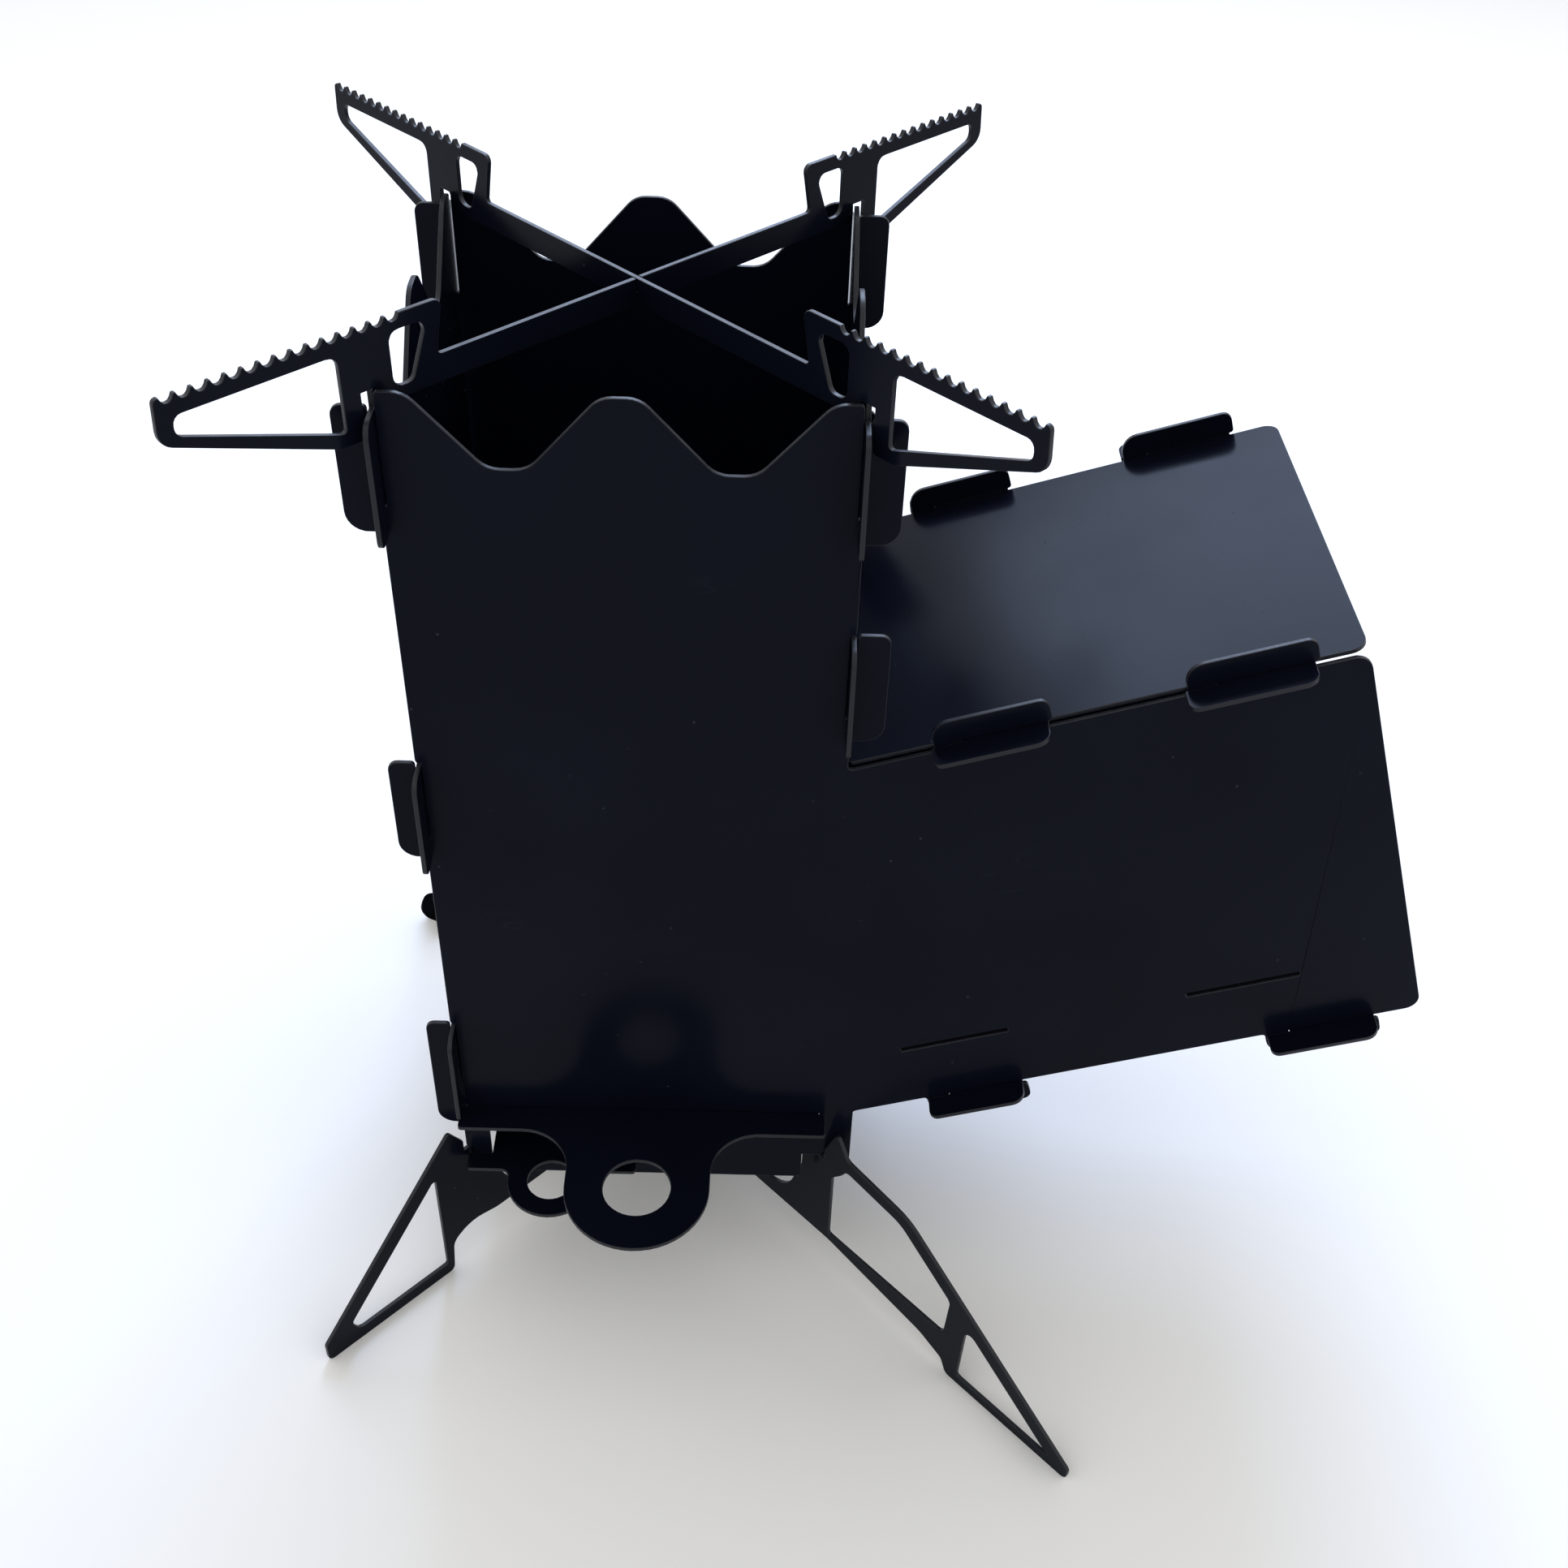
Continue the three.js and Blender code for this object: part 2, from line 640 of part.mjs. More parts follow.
// A sheet that stands on a diagonal of the chimney, from its front or back left corner.
function diagonalPlate(name, finish, corners, holes, fromFront) {
  const turn = fromFront ? 1 : -1;
  const along = new THREE.Vector3(Math.cos(diagonalAngle), turn * Math.sin(diagonalAngle), 0);
  const up = new THREE.Vector3(0, 0, 1);
  const normal = new THREE.Vector3().crossVectors(along, up);
  const place = new THREE.Vector3(chimneyWidth / 2, chimneyDepth / 2, 0);
  place.addScaledVector(normal, -sheet / 2);
  return plate(name, finish, corners, holes, place, along, up);
}

// Half the slot width where two diagonal sheets cross in the middle.
const lapHalf = sheet / 2 / Math.sin(2 * diagonalAngle) + fitGap;

// A notch in the middle of a bar, open upwards or downwards, for the other sheet.
function lap(top, bottom, openTop) {
  const middle = (top + bottom) / 2;
  const edge = openTop ? top : bottom;
  const floor = openTop ? middle - fitGap / 2 : middle + fitGap / 2;
  const corners = [
    [lapHalf, edge],
    [lapHalf, floor],
    [-lapHalf, floor],
    [-lapHalf, edge],
  ];
  return openTop ? corners : corners.reverse();
}

// One corner of a leg plate from the tooth's top to the bar: the panels' slot and the strut.
const legCorner = (side, toothHeight) => [
  [side * toothMiddle, toothHeight, toothRadius],
  [side * (halfDiagonal + seatOut), legLipHeight],
  [side * (halfDiagonal + seatOut), legSeat],
  [side * (halfDiagonal - seatIn), legSeat],
  [side * (halfDiagonal - seatIn), legLipHeight, cutRadius],
  [side * legStrutInner, legLipHeight, legRadius],
  [side * legStrutInner, 0, heelFillet],
  [side * (legStrutInner - strutTaper), -legBarTop, heelFillet],
];

// Height under a sloping upper edge, one brace below it, and the place where that height is reached.
function braceLine(near, far, brace) {
  const rise = (far[1] - near[1]) / (far[0] - near[0]);
  const drop = brace * Math.hypot(1, rise);
  return {
    at: (s) => near[1] + (s - near[0]) * rise - drop,
    reaches: (height) => near[0] + (height + drop - near[1]) / rise,
  };
}

function legPlate(name, fromFront, openTop) {
  const ground = -footDrop;
  const longHeel = longElbow + longHeelOut;
  const shortHeel = legStrutOuter + shortHeelOut;
  const bar = lap(-legBarTop, -legBarBottom, openTop);
  const elbow = [longElbow, longElbowHeight];
  const longEnd = [longReach, ground + longTip];
  const shortTop = [-toothMiddle, shortToothHeight];
  const shortEnd = [-shortReach, ground + shortTip];
  const corners = [
    [-shortReach, ground, footRadius],
    [-shortHeel, ground, footRadius],
    [-shortHeel + shortHeelLead, ground + shortHeelRise, shortHeelRadius],
    [-legStrutOuter + strutFlare, -legBarBottom + strutFlare, heelFillet],
    [-legStrutInner, -legBarBottom, heelFillet],
    ...(openTop ? [] : bar),
    [legStrutOuter, -legBarBottom, legBarRadius],
    [longHeel - heelFillet, -legBarBottom - heelDrop, heelFillet],
    [longHeel - longHeelLead, ground + longHeelRise, legRadius],
    [longHeel, ground, footRadius],
    [longReach, ground, footRadius],
    [...longEnd, footRadius],
    [...elbow, elbowRadius],
    [toothMiddle + legNeck, longToothHeight - legNeckDrop, legRadius],
    ...legCorner(1, longToothHeight),
    ...(openTop ? bar : []),
    ...legCorner(-1, shortToothHeight).reverse(),
    [...shortEnd, footRadius],
  ];
  const longEdge = braceLine(elbow, longEnd, longBrace);
  const shortEdge = braceLine(shortTop, shortEnd, shortBrace);
  const sole = ground + soleBrace;
  const shortSole = ground + shortSoleBrace;
  const postInner = longHeel - longPostInner;
  const postOuter = longHeel + longPostOuter;
  const shortPostAt = -shortHeel - shortPost;
  const shortEndAt = -shortReach + shortWindowEnd;
  const nearElbow = longElbow - legRadius;
  const holes = [
    [
      [legStrutOuter, -legBarBottom + longSillBrace, cutRadius],
      [postInner - cutRadius, -legBarBottom + longSillBrace, legRadius],
      [postInner, longEdge.at(postInner), legRadius],
      [nearElbow, longEdge.at(nearElbow), elbowWindowRadius],
      [toothMiddle + legNeck, longToothHeight - legNeckDrop - longBrace, legRadius],
      [legStrutOuter, legWindowTop, legRadius],
    ],
    [
      [postOuter - cutRadius, sole, cutRadius],
      [longEdge.reaches(sole), sole, cutRadius / 2],
      [postOuter, longEdge.at(postOuter), legRadius],
    ],
    [
      [shortEndAt, shortEdge.at(shortEndAt), legRadius],
      [shortEndAt + legRadius, shortSole, legRadius],
      [shortPostAt, shortSole, cutRadius],
      [shortPostAt, shortEdge.at(shortPostAt), cutRadius],
    ],
  ];
  return diagonalPlate(name, finishes.leg, corners, holes, fromFront);
}

// Scalloped teeth along the top edge, from the head out to the tip.
function toothCorners(side, top) {
  const pitch = (supportReach - supportTipLean - supportTipFlat - supportTeeth) / toothCount;
  const scallopShares = [
    [0.2, 0.6],
    [0.34, 0.92],
    [0.5, 1],
    [0.66, 0.92],
    [0.8, 0.6],
  ];
  const corners = [];
  for (let i = 0; i < toothCount; i += 1) {
    const start = supportTeeth + i * pitch;
    corners.push([side * (start + toothFlat / 2), top]);
    scallopShares.forEach(([alongShare, deepShare]) => {
      corners.push([side * (start + alongShare * pitch), top - deepShare * toothDepth]);
    });
    corners.push([side * (start + pitch - toothFlat / 2), top]);
  }
  return corners;
}

// One arm's lower outline, from the head over the panel's corner to the tip.
const armCorners = (side, barBottom, seat, fingerFoot, top) => [
  [side * (halfDiagonal - seatIn - supportLead), barBottom, cutRadius],
  [side * (halfDiagonal - seatIn), seat],
  [side * (halfDiagonal + seatOut), seat],
  [side * (halfDiagonal + seatOut), fingerFoot, cutRadius],
  [side * (supportStrutOuter + fingerLead), fingerFoot, supportRadius],
  [side * supportReach, top - supportTipHeight, supportTipRadius],
  [side * (supportReach - supportTipLean), top, supportTipRound],
];

// The small window in the head and the long one in the arm.
function supportWindows(side, barBottom, fingerFoot, top) {
  const sill = barBottom + supportSillBrace;
  const innerHead = top - supportHeadBrace;
  const outerHead = top - supportTopBrace;
  const inner = supportInner + supportBrace;
  const tip = supportReach - supportTipBrace;
  return [
    [
      [side * supportStrutInner, sill, supportRadius],
      [side * supportStrutInner, innerHead, supportRadius],
      [side * inner, innerHead, supportWindowRadius],
      [side * (inner + supportHeadSlant), sill, supportWindowRadius],
    ],
    [
      [side * supportStrutOuter, fingerFoot + supportArmBrace, cutRadius],
      [side * tip, top - supportTipHeight + supportWindowTail, supportWindowRadius],
      [side * tip, outerHead, supportWindowRadius],
      [side * supportStrutOuter, outerHead, supportRadius],
    ],
  ];
}

function potSupport(name, fromFront, openTop) {
  const top = panelHeight + supportRise;
  const barTop = panelHeight + supportBarRise;
  const barBottom = barTop - supportBarHeight;
  const seat = panelHeight + fitGap;
  const fingerFoot = panelHeight - supportFinger;
  const bar = lap(barTop, barBottom, openTop);
  const arm = (side) => armCorners(side, barBottom, seat, fingerFoot, top);
  const head = (side) => [
    [side * supportInner, top, supportHeadRadius],
    [side * supportInnerLow, barTop, cutRadius],
  ];
  const corners = [
    ...(openTop ? [] : bar),
    ...arm(1),
    ...toothCorners(1, top).reverse(),
    ...head(1),
    ...(openTop ? bar : []),
    ...head(-1).reverse(),
    ...toothCorners(-1, top),
    ...arm(-1).reverse(),
  ];
  const holes = [1, -1].flatMap((side) => supportWindows(side, barBottom, fingerFoot, top));
  return diagonalPlate(name, finishes.support, corners, holes, fromFront);
}

// The stove in its drawing frame, then set down on the middle of its footprint.
const stove = new THREE.Group();
stove.add(
  bigPanel("front_panel", 0),
  bigPanel("back_panel", chimneyDepth - sheet),
  chimneyWall("left_wall", 0, 0, [lowerHook, middleHook, upperHook], grateWallSlots()),
  chimneyWall(
    "right_wall",
    chimneyWidth - sheet,
    chuteCornerHeight + fitGap,
    [rightHook, upperHook],
    [],
  ),
  chutePlate("chute_top", 2 * fitGap, chuteTopLength, chuteTopHooks, innerCorner, fitGap),
  chutePlate("chute_floor", -kneeReach + cutRadius, chuteFloorLength, chuteFloorHooks, knee, -wallEdge),
  fuelShelf(),
  emberGrate(),
  ashSlide(),
  lowerTray(),
  legPlate("leg_plate_lower", true, true),
  legPlate("leg_plate_upper", false, false),
  potSupport("pot_support_lower", true, true),
  potSupport("pot_support_upper", false, false),
);
const box = new THREE.Box3().setFromObject(stove);
const middle = box.getCenter(new THREE.Vector3());
stove.position.set(-middle.x, -middle.y, -box.min.z);
const part = new THREE.Group();
part.add(stove);

export default part;
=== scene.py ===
"""A flat-pack rocket stove of black painted sheet steel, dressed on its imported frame."""

import json
import math

import bmesh
import bpy
import numpy as np
from mathutils import Matrix, Vector

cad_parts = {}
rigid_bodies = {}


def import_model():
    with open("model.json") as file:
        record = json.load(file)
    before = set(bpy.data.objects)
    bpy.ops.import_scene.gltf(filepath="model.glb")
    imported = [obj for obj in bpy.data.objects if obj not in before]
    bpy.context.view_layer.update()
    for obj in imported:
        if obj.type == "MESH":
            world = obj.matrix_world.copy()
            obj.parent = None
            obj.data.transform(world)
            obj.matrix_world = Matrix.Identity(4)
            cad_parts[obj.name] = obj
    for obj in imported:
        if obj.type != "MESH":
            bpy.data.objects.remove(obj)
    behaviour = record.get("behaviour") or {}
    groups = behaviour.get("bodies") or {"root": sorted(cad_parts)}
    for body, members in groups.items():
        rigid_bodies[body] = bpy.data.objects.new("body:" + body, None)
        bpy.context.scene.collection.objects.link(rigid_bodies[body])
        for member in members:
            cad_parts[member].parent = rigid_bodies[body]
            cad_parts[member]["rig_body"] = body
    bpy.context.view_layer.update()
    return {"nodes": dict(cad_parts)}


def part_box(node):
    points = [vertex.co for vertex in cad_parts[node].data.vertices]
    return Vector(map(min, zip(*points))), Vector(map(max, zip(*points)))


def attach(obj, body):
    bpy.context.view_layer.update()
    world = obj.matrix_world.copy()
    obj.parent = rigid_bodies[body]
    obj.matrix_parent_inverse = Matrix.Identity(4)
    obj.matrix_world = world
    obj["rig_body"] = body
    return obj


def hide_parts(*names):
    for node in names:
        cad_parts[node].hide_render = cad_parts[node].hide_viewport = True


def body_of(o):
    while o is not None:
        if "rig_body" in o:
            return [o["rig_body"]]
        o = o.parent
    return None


bl_info = {
    "name": "Flat-Pack Rocket Stove",
    "version": (1, 0, 0),
    "blender": (4, 5, 0),
    "location": "View3D > Sidebar > Stove",
    "description": "Paints and finishes the sheets of a folding wood stove",
    "category": "Add Mesh",
}

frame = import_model()
MM = 0.001

# Corners of the CAD's loose triangles that lie closer than this are one corner.
WELD_DISTANCE = 0.004 * MM
# A face whose normal has a higher cosine with the sheet's own normal is painted.
PAINTED_COSINE = 0.9
# A cut edge is smooth along its arcs, and creased where it turns further than this.
CREASE_ANGLE = math.radians(35)
# The rims between the painted faces and the cut edges turn by 90 degrees, and are rounded.
RIM_ANGLE = math.radians(80)
RIM_SEGMENTS = 2

# Softbox behind the stove, in metres. The chute's roof mirrors it to the camera, up to the
# chimney's shade.
SOFTBOX_PLACE = (0.15, 1.04, 1.2)
SOFTBOX_TARGET = (0.08, -0.02, 0.28)
SOFTBOX_SIZE = (0.9, 0.62)
SOFTBOX_COLOUR = "#C2D8FF"
SURROUNDINGS_COLOUR = "#F8F7F5"
# Painted shade: the near-black cut edges of the shelf and grate, so that their tab ends show as
# dark slits in the panels.
SLIT_SHADE_COLOUR = "#040406"

# The camera in millimetres from the chimney's lower front left corner.
CAMERA_PLACE_MM = (103.58, -412.16, 535.43)
CAMERA_RIGHT = (0.99956141, 0.00642559, 0.0289085)
CAMERA_UP = (-0.02627626, 0.64266004, 0.76570075)
CAMERA_FORWARD = (0.01365825, 0.76612453, -0.64254701)
CAMERA_FOCAL_PIXELS = 2191.28
IMAGE_PIXELS = 1932
SENSOR_MM = 36.0


def linear(hex_colour):
    """The sRGB hex colour as linear red, green and blue."""
    values = np.array([int(hex_colour[i : i + 2], 16) for i in (1, 3, 5)]) / 255
    curved = np.where(values <= 0.04045, values / 12.92, ((values + 0.055) / 1.055) ** 2.4)
    return tuple(float(v) for v in curved)


class StoveSettings(bpy.types.PropertyGroup):
    """Finish and edge sizes of the stove's sheets."""

    edge_round: bpy.props.FloatProperty(
        name="Edge rounding",
        description="Radius that the paint leaves along each cut edge",
        default=0.2 * MM,
        min=0.0,
        unit="LENGTH",
        precision=5,
    )
    paint: bpy.props.FloatVectorProperty(
        name="Paint",
        description="Colour of the satin black stove paint",
        subtype="COLOR",
        size=3,
        default=linear("#0A0D18"),
    )
    inner_paint: bpy.props.FloatVectorProperty(
        name="Inner paint",
        description="Colour of the matt paint on the shelf and the grate",
        subtype="COLOR",
        size=3,
        default=linear("#0B0C10"),
    )
    # On cut edges that face up, this pale colour is partly bare steel and partly a painted
    # highlight of the light from above.
    steel: bpy.props.FloatVectorProperty(
        name="Bare steel",
        description="Colour of the steel where the paint is rubbed off",
        subtype="COLOR",
        size=3,
        default=linear("#9A9EA6"),
    )
    dust: bpy.props.FloatVectorProperty(
        name="Dust",
        description="Colour of the fine dust in the paint",
        subtype="COLOR",
        size=3,
        default=linear("#3A3E48"),
    )


class StageSettings(bpy.types.PropertyGroup):
    """Floor, light and camera."""

    floor_colour: bpy.props.FloatVectorProperty(
        name="Floor",
        description="Colour of the plain studio floor",
        subtype="COLOR",
        size=3,
        default=linear("#F6F6F6"),
    )
    floor_size: bpy.props.FloatProperty(
        name="Floor size",
        description="Side of the square floor",
        default=12.0,
        min=1.0,
        unit="LENGTH",
    )
    sky_strength: bpy.props.FloatProperty(
        name="Surroundings",
        description="Brightness of the pale surroundings",
        default=1.0,
        min=0.0,
    )
    softbox_power: bpy.props.FloatProperty(
        name="Softbox",
        description="Power of the soft light behind and above the stove",
        default=17.0,
        min=0.0,
        subtype="POWER",
    )


def node(tree, kind, inputs=None, **settings):
    """Adds a shader node with its settings, and sets or links its inputs by name or number."""
    made = tree.nodes.new(kind)
    for name, value in settings.items():
        setattr(made, name, value)
    for key, value in (inputs or {}).items():
        if isinstance(value, bpy.types.NodeSocket):
            tree.links.new(value, made.inputs[key])
        else:
            made.inputs[key].default_value = value
    return made


def new_material(name):
    """An empty node material and its tree, with the output node to link to."""
    material = bpy.data.materials.new(name)
    material.use_nodes = True
    tree = material.node_tree
    tree.nodes.clear()
    return material, tree, node(tree, "ShaderNodeOutputMaterial")


def ramp(tree, value, low, high, start, end):
    """The value carried from low..high to start..end and held there beyond."""
    made = node(
        tree,
        "ShaderNodeMapRange",
        {"Value": value, "From Min": low, "From Max": high, "To Min": start, "To Max": end},
    )
    return made.outputs["Result"]


def times(tree, first, second):
    """The product of two values."""
    made = node(tree, "ShaderNodeMath", {0: first, 1: second}, operation="MULTIPLY")
    return made.outputs["Value"]


def paint_film(tree, place, colour, dust, roughness):
    """Colour, roughness and normal of a sprayed and baked film of stove paint.

    The film has clouds of gloss about 60 mm across, flecks of dust 0.5 mm wide about 9 mm
    apart, and hairline scuffs. Its skin has orange peel over slow waves of the thin sheet.
    """
    clouds = node(tree, "ShaderNodeTexNoise", {"Vector": place, "Scale": 16.0, "Detail": 3.0})
    tone = ramp(tree, clouds.outputs["Fac"], 0.3, 0.7, 0.86, 1.16)
    tinted = node(
        tree, "ShaderNodeVectorMath", {0: colour, "Scale": tone}, operation="SCALE"
    ).outputs["Vector"]

    # Flecks in a third of the cells, drawn twice as wide as real dust so that they show.
    cells = node(tree, "ShaderNodeTexVoronoi", {"Vector": place, "Scale": 110.0})
    near = ramp(tree, cells.outputs["Distance"], 0.03, 0.06, 1.0, 0.0)
    kept = ramp(tree, cells.outputs["Color"], 0.62, 0.64, 0.0, 1.0)
    flecks = times(tree, near, kept)

    # Scuffs about 30 mm long and 0.3 mm wide, where a streaky noise crosses its middle.
    streaks = node(
        tree,
        "ShaderNodeMapping",
        {"Vector": place, "Rotation": (0.3, 0.5, 0.9), "Scale": (18.0, 420.0, 60.0)},
    )
    lines = node(tree, "ShaderNodeTexNoise", {"Vector": streaks.outputs["Vector"], "Scale": 1.0})
    ridge = node(
        tree, "ShaderNodeMath", {0: lines.outputs["Fac"], 1: 0.5}, operation="SUBTRACT"
    ).outputs["Value"]
    width = node(tree, "ShaderNodeMath", {0: ridge}, operation="ABSOLUTE").outputs["Value"]
    patches = node(tree, "ShaderNodeTexNoise", {"Vector": place, "Scale": 24.0})
    scuffs = times(
        tree,
        ramp(tree, width, 0.0, 0.006, 1.0, 0.0),
        ramp(tree, patches.outputs["Fac"], 0.6, 0.7, 0.0, 1.0),
    )
    marks = node(
        tree, "ShaderNodeMath", {0: flecks, 1: times(tree, scuffs, 0.14)}, operation="MAXIMUM"
    ).outputs["Value"]
    coloured = node(
        tree,
        "ShaderNodeMix",
        {"Factor": times(tree, marks, 0.5), "A": tinted, "B": dust},
        data_type="VECTOR",
    ).outputs["Result"]

    gloss = ramp(tree, clouds.outputs["Fac"], 0.3, 0.7, roughness - 0.03, roughness + 0.04)
    rough = node(
        tree, "ShaderNodeMath", {0: gloss, 1: times(tree, marks, 0.25)}, operation="ADD"
    ).outputs["Value"]

    # Orange peel of about 1.4 mm, drawn coarser than the real 0.5 mm so that it shows.
    peel = node(tree, "ShaderNodeTexNoise", {"Vector": place, "Scale": 700.0, "Detail": 2.0})
    # Slow waves of about 90 mm in the thin sheet.
    waves = node(tree, "ShaderNodeTexNoise", {"Vector": place, "Scale": 11.0, "Detail": 0.0})
    sheet_bump = node(
        tree,
        "ShaderNodeBump",
        {"Height": waves.outputs["Fac"], "Strength": 0.25, "Distance": 2.0 * MM},
    )
    bump = node(
        tree,
        "ShaderNodeBump",
        {
            "Height": peel.outputs["Fac"],
            "Strength": 0.12,
            "Distance": 0.05 * MM,
            "Normal": sheet_bump.outputs["Normal"],
        },
    )
    return coloured, rough, bump.outputs["Normal"]


def satin_paint(name, colour, dust, roughness, shine):
    """Baked-on satin black stove paint on rolled steel sheet.

    The eye sees a near-black body under a blurred reflection that is faint face-on and
    turns blue-grey where the sheet is seen along a bright surround.
    """
    material, tree, output = new_material(name)
    place = node(tree, "ShaderNodeTexCoord").outputs["Object"]
    coloured, rough, normal = paint_film(tree, place, colour, dust, roughness)
    shader = node(
        tree,
        "ShaderNodeBsdfPrincipled",
        {
            "Base Color": coloured,
            "Roughness": rough,
            "Normal": normal,
            "Specular IOR Level": shine,
        },
    )
    tree.links.new(shader.outputs["BSDF"], output.inputs["Surface"])
    return material


def cut_edge(name, colour, steel, shine, bare_and_highlight):
    """Laser-cut edge of the steel sheet under the paint, rubbed thin where it faces up, with a
    painted highlight there.

    The eye sees fine striations across the sheet, and a pale line along the rims that hands and
    pots touch:
    partly rubbed steel, partly a painted highlight. The last argument is the share of steel on an
    edge that faces up.
    """
    material, tree, output = new_material(name)
    coordinates = node(tree, "ShaderNodeTexCoord")
    place = coordinates.outputs["Object"]
    # Striations every 0.8 mm, drawn twice as coarse as the real ones.
    grain = node(tree, "ShaderNodeTexNoise", {"Vector": place, "Scale": 1200.0, "Detail": 2.0})
    tone = ramp(tree, grain.outputs["Fac"], 0.3, 0.7, 0.75, 1.2)
    upward = node(tree, "ShaderNodeSeparateXYZ", {0: coordinates.outputs["Normal"]})
    # Pale steel where the edge faces up: partly paint rubbed off, partly a painted highlight of the
    # light from above.
    rubbed = ramp(tree, upward.outputs["Z"], 0.35, 0.95, 0.0, bare_and_highlight)
    spots = node(tree, "ShaderNodeTexNoise", {"Vector": place, "Scale": 140.0, "Detail": 3.0})
    worn_and_lit = times(tree, rubbed, ramp(tree, spots.outputs["Fac"], 0.35, 0.6, 0.55, 1.0))
    mixed = node(
        tree, "ShaderNodeMix", {"Factor": worn_and_lit, "A": colour, "B": steel}, data_type="VECTOR"
    ).outputs["Result"]
    tinted = node(
        tree, "ShaderNodeVectorMath", {0: mixed, "Scale": tone}, operation="SCALE"
    ).outputs["Vector"]
    bump = node(
        tree,
        "ShaderNodeBump",
        {"Height": grain.outputs["Fac"], "Strength": 0.2, "Distance": 0.05 * MM},
    )
    shader = node(
        tree,
        "ShaderNodeBsdfPrincipled",
        {
            "Base Color": tinted,
            "Metallic": worn_and_lit,
            "Roughness": ramp(tree, grain.outputs["Fac"], 0.3, 0.7, 0.34, 0.46),
            "Normal": bump.outputs["Normal"],
            "Specular IOR Level": shine,
        },
    )
    tree.links.new(shader.outputs["BSDF"], output.inputs["Surface"])
    return material


def stove_paint(settings):
    """The satin paint of every outer sheet."""
    name = "satin_stove_paint"
    return bpy.data.materials.get(name) or satin_paint(
        name, tuple(settings.paint), tuple(settings.dust), roughness=0.22, shine=0.05
    )


def shelf_paint(settings):
    """The matt paint of the sheets inside."""
    name = "matt_stove_paint"
    return bpy.data.materials.get(name) or satin_paint(
        name, tuple(settings.inner_paint), tuple(settings.dust), roughness=0.5, shine=0.05
    )


def sheet_edge(settings):
    """The edges of the panels, walls, slides and legs, with thin paint."""
    name = "painted_cut_edge"
    return bpy.data.materials.get(name) or cut_edge(
        name, tuple(settings.paint), tuple(settings.steel), shine=0.3, bare_and_highlight=0.06
    )


def shelf_edge(settings):
    """The edges of the sheets inside, which nothing rubs, near-black as painted shade in the slits.
    """
    name = "slit_shade_cut_edge"
    return bpy.data.materials.get(name) or cut_edge(
        name, linear(SLIT_SHADE_COLOUR), tuple(settings.steel), shine=0.01, bare_and_highlight=0.0
    )


def support_edge(settings):
    """The edges of the pot supports, which pots rub bright along the top, with more painted
    highlight there.
    """
    name = "rubbed_and_lit_support_edge"
    return bpy.data.materials.get(name) or cut_edge(
        name, tuple(settings.paint), tuple(settings.steel), shine=0.3, bare_and_highlight=0.18
    )


def dress_sheet(node_name, paint, edge, edge_round):
    """Makes a welded copy of a CAD sheet with rounded rims, which stands for the CAD node.

    The sheet's own normal is that of its largest face. Faces along it are painted and stay
    flat, and all others are cut edges and are smooth.
    """
    source = frame["nodes"][node_name]
    body = body_of(source)[0]
    mesh = source.data.copy()
    mesh.name = node_name + "_painted"
    mesh.materials.clear()
    work = bmesh.new()
    work.from_mesh(mesh)
    bmesh.ops.remove_doubles(work, verts=work.verts, dist=WELD_DISTANCE)
    work.to_mesh(mesh)
    work.free()
    mesh.materials.append(paint)
    mesh.materials.append(edge)

    count = len(mesh.polygons)
    normals = np.empty(count * 3)
    areas = np.empty(count)
    mesh.polygons.foreach_get("normal", normals)
    mesh.polygons.foreach_get("area", areas)
    normals = normals.reshape(-1, 3)
    cut = np.abs(normals @ normals[np.argmax(areas)]) < PAINTED_COSINE
    mesh.polygons.foreach_set("material_index", cut.astype(np.int32))
    # The normals that came with the loose triangles no longer fit the welded ones.
    loose_normals = mesh.attributes.get("custom_normal")
    if loose_normals is not None:
        mesh.attributes.remove(loose_normals)
    # This makes every face smooth, so the painted faces are set flat after it.
    mesh.set_sharp_from_angle(angle=CREASE_ANGLE)
    mesh.polygons.foreach_set("use_smooth", cut)

    piece = bpy.data.objects.new(node_name + "_sheet", mesh)
    bpy.context.scene.collection.objects.link(piece)
    bevel = piece.modifiers.new("paint round", "BEVEL")
    bevel.width = edge_round
    bevel.segments = RIM_SEGMENTS
    bevel.limit_method = "ANGLE"
    bevel.angle_limit = RIM_ANGLE
    bevel.use_clamp_overlap = False
    bevel.material = 1
    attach(piece, body)
    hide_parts(node_name)


def dress_sheets(settings, names, paint, edge):
    """Dresses like sheets, with the finishes that the paint and edge functions make."""
    for name in names:
        dress_sheet(name, paint(settings), edge(settings), settings.edge_round)


class STOVE_OT_panels(bpy.types.Operator):
    """Paint the front and back panels"""

    bl_idname = "stove.panels"
    bl_label = "Big Panels"
    bl_options = {"REGISTER", "UNDO"}

    def execute(self, context):
        names = ("front_panel", "back_panel")
        dress_sheets(context.scene.stove, names, stove_paint, sheet_edge)
        return {"FINISHED"}


class STOVE_OT_walls(bpy.types.Operator):
    """Paint the chimney's side walls"""

    bl_idname = "stove.walls"
    bl_label = "Side Walls"
    bl_options = {"REGISTER", "UNDO"}

    def execute(self, context):
        names = ("left_wall", "right_wall")
        dress_sheets(context.scene.stove, names, stove_paint, sheet_edge)
        return {"FINISHED"}


class STOVE_OT_chute(bpy.types.Operator):
    """Paint the chute's roof and floor"""

    bl_idname = "stove.chute"
    bl_label = "Feed Chute"
    bl_options = {"REGISTER", "UNDO"}

    def execute(self, context):
        names = ("chute_top", "chute_floor")
        dress_sheets(context.scene.stove, names, stove_paint, sheet_edge)
        return {"FINISHED"}


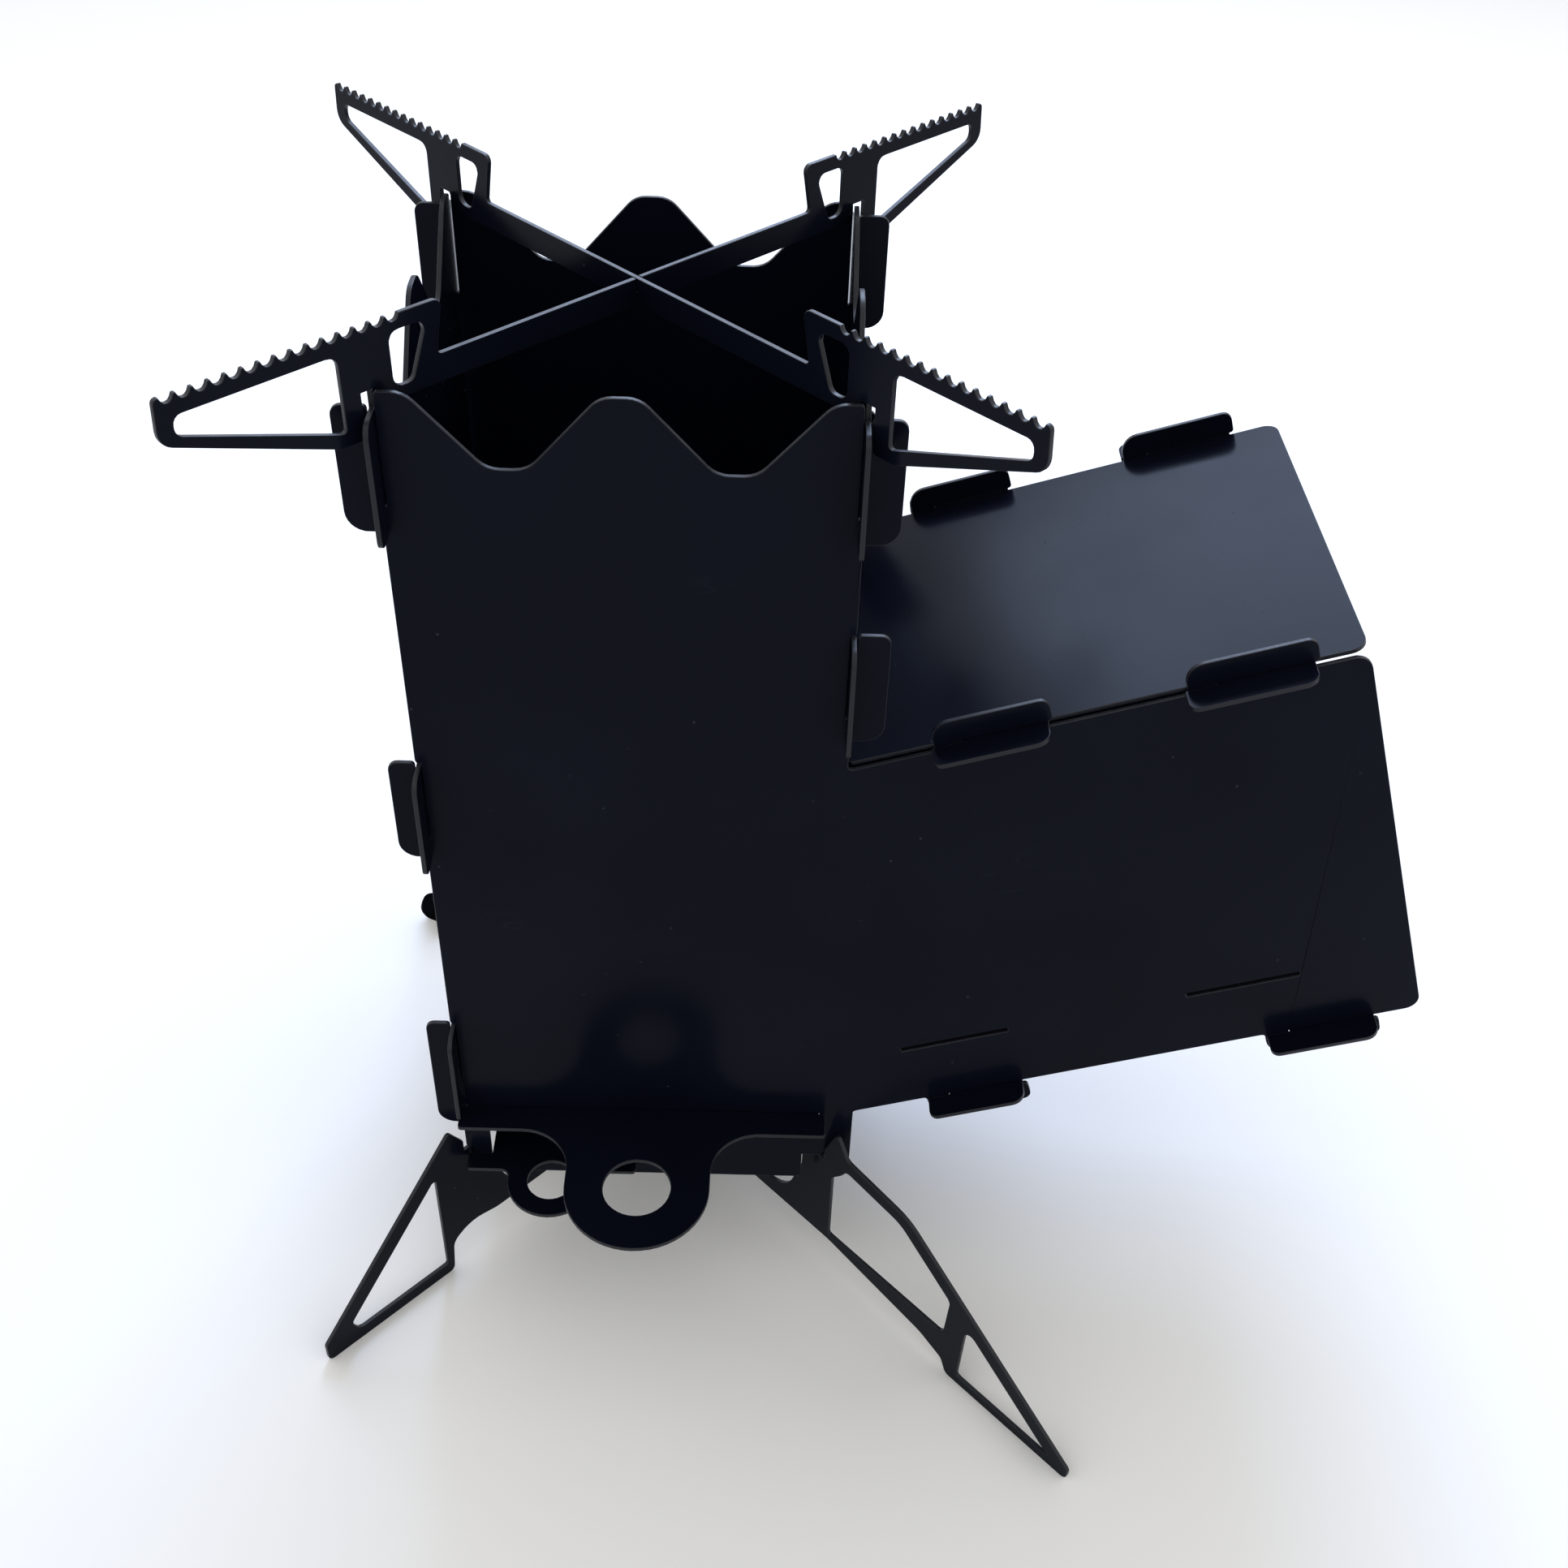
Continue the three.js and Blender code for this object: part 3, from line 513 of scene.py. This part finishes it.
class STOVE_OT_inner(bpy.types.Operator):
    """Paint the fuel shelf and the ember grate"""

    bl_idname = "stove.inner"
    bl_label = "Shelf and Grate"
    bl_options = {"REGISTER", "UNDO"}

    def execute(self, context):
        names = ("fuel_shelf", "ember_grate")
        dress_sheets(context.scene.stove, names, shelf_paint, shelf_edge)
        return {"FINISHED"}


class STOVE_OT_slides(bpy.types.Operator):
    """Paint the ash slide and the lower tray"""

    bl_idname = "stove.slides"
    bl_label = "Slides"
    bl_options = {"REGISTER", "UNDO"}

    def execute(self, context):
        names = ("ash_slide", "lower_tray")
        dress_sheets(context.scene.stove, names, stove_paint, sheet_edge)
        return {"FINISHED"}


class STOVE_OT_supports(bpy.types.Operator):
    """Paint the crossed pot supports"""

    bl_idname = "stove.supports"
    bl_label = "Pot Supports"
    bl_options = {"REGISTER", "UNDO"}

    def execute(self, context):
        names = ("pot_support_lower", "pot_support_upper")
        dress_sheets(context.scene.stove, names, stove_paint, support_edge)
        return {"FINISHED"}


class STOVE_OT_legs(bpy.types.Operator):
    """Paint the crossed leg plates"""

    bl_idname = "stove.legs"
    bl_label = "Leg Plates"
    bl_options = {"REGISTER", "UNDO"}

    def execute(self, context):
        names = ("leg_plate_lower", "leg_plate_upper")
        dress_sheets(context.scene.stove, names, stove_paint, sheet_edge)
        return {"FINISHED"}


def add_softbox(power):
    """Adds the rectangular soft light, turned to its target."""
    light = bpy.data.lights.new("back_softbox", "AREA")
    light.shape = "RECTANGLE"
    light.size, light.size_y = SOFTBOX_SIZE
    light.energy = power
    light.color = linear(SOFTBOX_COLOUR)
    lamp = bpy.data.objects.new("back_softbox", light)
    place = Vector(SOFTBOX_PLACE)
    aim = (Vector(SOFTBOX_TARGET) - place).to_track_quat("-Z", "Y")
    lamp.matrix_world = Matrix.LocRotScale(place, aim, None)
    bpy.context.scene.collection.objects.link(lamp)


def chimney_corner():
    """The chimney's lower front left corner, from the boxes of the panel and the wall there."""
    panel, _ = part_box("front_panel")
    wall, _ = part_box("left_wall")
    return Vector((wall.x, panel.y, wall.z))


class STOVE_OT_stage(bpy.types.Operator):
    """Lay the floor and set the light and the camera"""

    bl_idname = "stove.stage"
    bl_label = "Stage"
    bl_options = {"REGISTER", "UNDO"}

    def execute(self, context):
        stage = context.scene.stove_stage
        side = stage.floor_size
        corners = np.array([[-1, -1, 0], [1, -1, 0], [1, 1, 0], [-1, 1, 0]]) * side / 2
        mesh = bpy.data.meshes.new("studio_floor")
        mesh.from_pydata(corners.tolist(), [], [(0, 1, 2, 3)])
        material, tree, output = new_material("pale_studio_floor")
        shader = node(
            tree,
            "ShaderNodeBsdfPrincipled",
            {"Base Color": (*stage.floor_colour, 1.0), "Roughness": 0.9, "Specular IOR Level": 0.1},
        )
        tree.links.new(shader.outputs["BSDF"], output.inputs["Surface"])
        mesh.materials.append(material)
        floor = bpy.data.objects.new("studio_floor", mesh)
        context.scene.collection.objects.link(floor)

        world = bpy.data.worlds.new("pale_surroundings")
        world.use_nodes = True
        background = world.node_tree.nodes["Background"]
        background.inputs["Color"].default_value = (*linear(SURROUNDINGS_COLOUR), 1.0)
        background.inputs["Strength"].default_value = stage.sky_strength
        context.scene.world = world
        add_softbox(stage.softbox_power)
        context.scene.view_settings.view_transform = "Standard"

        camera = bpy.data.cameras.new("photo_camera")
        camera.sensor_width = SENSOR_MM
        camera.lens = SENSOR_MM * CAMERA_FOCAL_PIXELS / IMAGE_PIXELS
        eye = bpy.data.objects.new("photo_camera", camera)
        turn = Matrix((CAMERA_RIGHT, CAMERA_UP, -Vector(CAMERA_FORWARD))).transposed()
        eye.matrix_world = Matrix.LocRotScale(
            chimney_corner() + Vector(CAMERA_PLACE_MM) * MM, turn.to_quaternion(), None
        )
        context.scene.collection.objects.link(eye)
        context.scene.camera = eye
        return {"FINISHED"}


class STOVE_PT_sidebar(bpy.types.Panel):
    """Lists the settings and the operators"""

    bl_idname = "STOVE_PT_sidebar"
    bl_label = "Rocket Stove"
    bl_space_type = "VIEW_3D"
    bl_region_type = "UI"
    bl_category = "Stove"

    def draw(self, context):
        for group in (context.scene.stove, context.scene.stove_stage):
            box = self.layout.box()
            for name in group.__annotations__:
                box.prop(group, name)
        for operator in OPERATORS:
            self.layout.operator(operator.bl_idname)


OPERATORS = (
    STOVE_OT_panels,
    STOVE_OT_walls,
    STOVE_OT_chute,
    STOVE_OT_inner,
    STOVE_OT_slides,
    STOVE_OT_supports,
    STOVE_OT_legs,
    STOVE_OT_stage,
)
CLASSES = (StoveSettings, StageSettings, *OPERATORS, STOVE_PT_sidebar)


def register():
    for cls in CLASSES:
        bpy.utils.register_class(cls)
    bpy.types.Scene.stove = bpy.props.PointerProperty(type=StoveSettings)
    bpy.types.Scene.stove_stage = bpy.props.PointerProperty(type=StageSettings)


def unregister():
    del bpy.types.Scene.stove_stage
    del bpy.types.Scene.stove
    for cls in reversed(CLASSES):
        bpy.utils.unregister_class(cls)


def main():
    """Registers the classes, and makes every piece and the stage."""
    register()
    bpy.ops.stove.panels()
    bpy.ops.stove.walls()
    bpy.ops.stove.chute()
    bpy.ops.stove.inner()
    bpy.ops.stove.slides()
    bpy.ops.stove.supports()
    bpy.ops.stove.legs()
    bpy.ops.stove.stage()
    bpy.context.view_layer.update()


if __name__ == "__main__":
    main()
